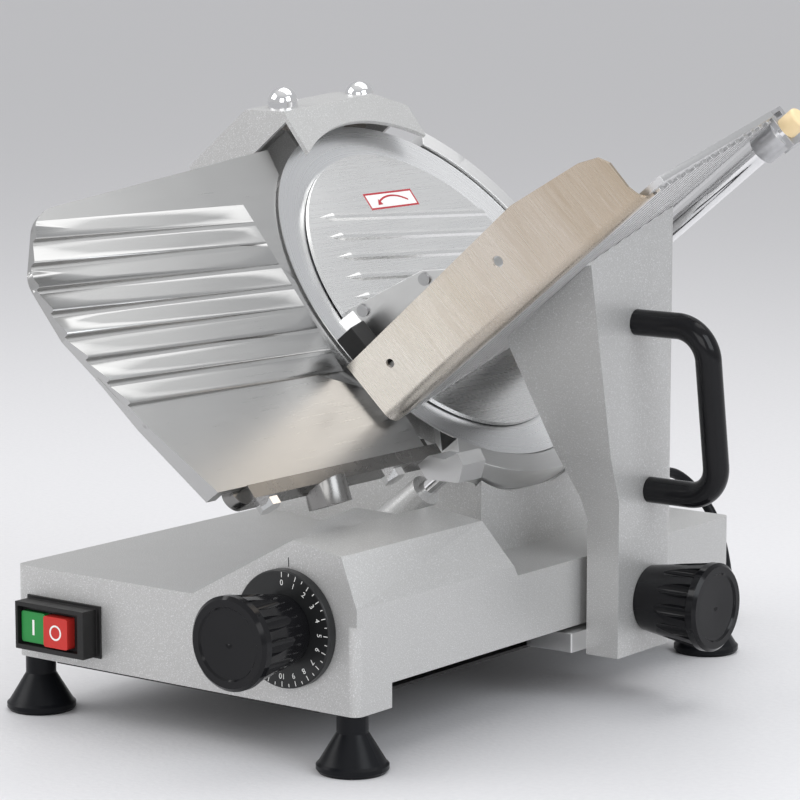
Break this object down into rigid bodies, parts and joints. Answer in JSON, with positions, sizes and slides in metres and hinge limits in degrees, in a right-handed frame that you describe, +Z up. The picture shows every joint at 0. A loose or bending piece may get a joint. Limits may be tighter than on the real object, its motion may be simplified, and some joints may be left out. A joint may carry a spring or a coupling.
{
  "type": "meat slicer",
  "caption": "Electric gravity-feed food slicer with a tilted round blade, ribbed gauge plate, sliding carriage tray with handle, thickness knob and built-in sharpener.",
  "frame": {"origin": "On the table, in the middle of the slicer's footprint, measured without the mains cord.", "axes": "+X to the operator's right, +Y to the rear where the cord leaves, +Z up."},
  "size_m": [0.4022, 0.6313, 0.371],
  "materials": {
    "painted_casting": "satin silver-grey paint with a fine metallic sparkle",
    "cast_aluminium": "satin cast and machined aluminium",
    "aluminium_sheet": "satin sheet",
    "polished_aluminium": "satin to bright polish",
    "blade_steel": "ground with fine rings",
    "stainless_sheet": "brushed along its length",
    "steel_sheet": "plain rolled sheet",
    "steel_screw": "plain machined steel",
    "chrome_plate": "mirror plated",
    "black_gloss": "glossy moulded phenolic",
    "black_plastic": "satin moulding",
    "green_plastic": "smooth moulding",
    "red_plastic": "smooth moulding",
    "cream_plastic": "plain moulding",
    "black_rubber": "matte",
    "grey_stone": "gritty grinding stone"
  },
  "bodies": {
    "base": {"base_casting": "painted_casting", "bottom_cover": "steel_sheet", "cover_screws": "steel_screw", "feet": "black_rubber", "foot_screws": "steel_screw", "switch_housing": "black_plastic", "blade_housing": "painted_casting", "housing_rear_cover": "aluminium_sheet", "spindle_bearings": "steel_screw", "blade_cover": "polished_aluminium", "cover_tie_rod": "steel_screw", "guard_ring": "cast_aluminium", "drive_belt": "black_rubber", "motor_body": "steel_sheet", "motor_bracket": "steel_sheet", "sharpener_housing": "painted_casting", "carriage_rod": "chrome_plate", "cord_gland": "black_plastic", "cord": "black_rubber", "cord_coil": "black_rubber", "plug": "black_plastic"},
    "start_button": {"on_button": "green_plastic"},
    "stop_button": {"off_button": "red_plastic"},
    "blade_assembly": {"blade_spindle": "steel_screw", "blade_pulley": "cast_aluminium", "blade": "blade_steel", "blade_screws": "steel_screw"},
    "rotor": {"motor_rotor": "steel_screw"},
    "cover_lock": {"cover_knob": "black_plastic"},
    "sharpener_lock": {"sharpener_clamp": "black_plastic"},
    "grinder": {"grinding_knob": "chrome_plate", "grinding_stone": "grey_stone"},
    "deburrer": {"deburring_knob": "chrome_plate", "deburring_stone": "grey_stone"},
    "gauge": {"gauge_plate": "polished_aluminium", "gauge_bracket": "chrome_plate", "bracket_bolts": "steel_screw", "gauge_slide_block": "cast_aluminium", "gauge_rod": "chrome_plate", "index_arm": "cast_aluminium"},
    "dial": {"index_spindle": "steel_screw", "dial_plate": "black_plastic", "thickness_knob": "black_gloss"},
    "carriage": {"carriage_slide": "cast_aluminium", "carriage_arm": "painted_casting", "handle": "black_gloss", "tray_wall": "stainless_sheet", "tray_floor": "cast_aluminium", "tray_screws": "steel_screw", "pusher_rod": "chrome_plate", "rod_bracket": "steel_sheet", "rod_end_plate": "steel_sheet", "rod_end_cap": "cream_plastic"},
    "carriage_lock": {"lock_knob": "black_gloss"},
    "pusher_carrier": {"pusher_bush": "cream_plastic"},
    "pusher": {"pusher_slide": "cast_aluminium", "pusher_arm": "cast_aluminium", "press_plate": "polished_aluminium", "press_plate_screws": "steel_screw", "pusher_pad": "black_plastic"}
  },
  "joints": [
    {"name": "on_press", "type": "slide", "parent": "base", "child": "start_button", "axis": [0, 1, 0], "range_m": [0, 0.003], "stiffness_N_per_m": 500, "springref_m": -0.002},
    {"name": "off_press", "type": "slide", "parent": "base", "child": "stop_button", "axis": [0, 1, 0], "range_m": [0, 0.003], "stiffness_N_per_m": 500, "springref_m": -0.002},
    {"name": "blade_spin", "type": "hinge", "parent": "base", "child": "blade_assembly", "pos_m": [-0.04587, 0.0897, 0.2413], "axis": [0.7771, 0, 0.6293], "continuous": true},
    {"name": "rotor_spin", "type": "hinge", "parent": "base", "child": "rotor", "pos_m": [-0.00599, 0.1095, 0.1269], "axis": [0.7771, 0, 0.6293], "continuous": true},
    {"name": "cover_knob_turn", "type": "hinge", "parent": "base", "child": "cover_lock", "pos_m": [-0.09638, 0.0897, 0.20039], "axis": [0.7771, 0, 0.6293], "range_deg": [0, 360]},
    {"name": "sharpener_clamp_turn", "type": "hinge", "parent": "base", "child": "sharpener_lock", "pos_m": [-0.1846, 0.0897, 0.30139], "axis": [0.7771, 0, 0.6293], "range_deg": [0, 360]},
    {"name": "sharpening_push", "type": "slide", "parent": "base", "child": "grinder", "axis": [0, 0, -1], "range_m": [0, 0.0025], "stiffness_N_per_m": 800, "springref_m": -0.003},
    {"name": "deburring_push", "type": "slide", "parent": "base", "child": "deburrer", "axis": [0, 0, -1], "range_m": [0, 0.0025], "stiffness_N_per_m": 800, "springref_m": -0.003},
    {"name": "gauge_slide", "type": "slide", "parent": "base", "child": "gauge", "axis": [-0.7771, 0, -0.6293], "range_m": [0, 0.012]},
    {"name": "dial_turn", "type": "hinge", "parent": "base", "child": "dial", "pos_m": [0.03451, -0.1825, 0.0799], "axis": [0, -1, 0], "range_deg": [0, 270]},
    {"name": "carriage_travel", "type": "slide", "parent": "base", "child": "carriage", "axis": [0, 1, 0], "range_m": [-0.17, 0.025]},
    {"name": "lock_knob_turn", "type": "hinge", "parent": "carriage", "child": "carriage_lock", "pos_m": [0.11241, 0.1045, 0.063], "axis": [1, 0, 0], "range_deg": [0, 360]},
    {"name": "pusher_travel", "type": "slide", "parent": "carriage", "child": "pusher_carrier", "axis": [0.7771, 0, 0.6293], "range_m": [0, 0.125]},
    {"name": "pusher_swing", "type": "hinge", "parent": "pusher_carrier", "child": "pusher", "pos_m": [0.02951, 0.15209, 0.23402], "axis": [0.7771, 0, 0.6293], "range_deg": [-40, 0]}
  ],
  "couplings": [
    {"joint": "rotor_spin", "follows": "blade_spin", "ratio": 3.5},
    {"joint": "dial_turn", "follows": "gauge_slide", "rad_per_m": 392.7}
  ]
}
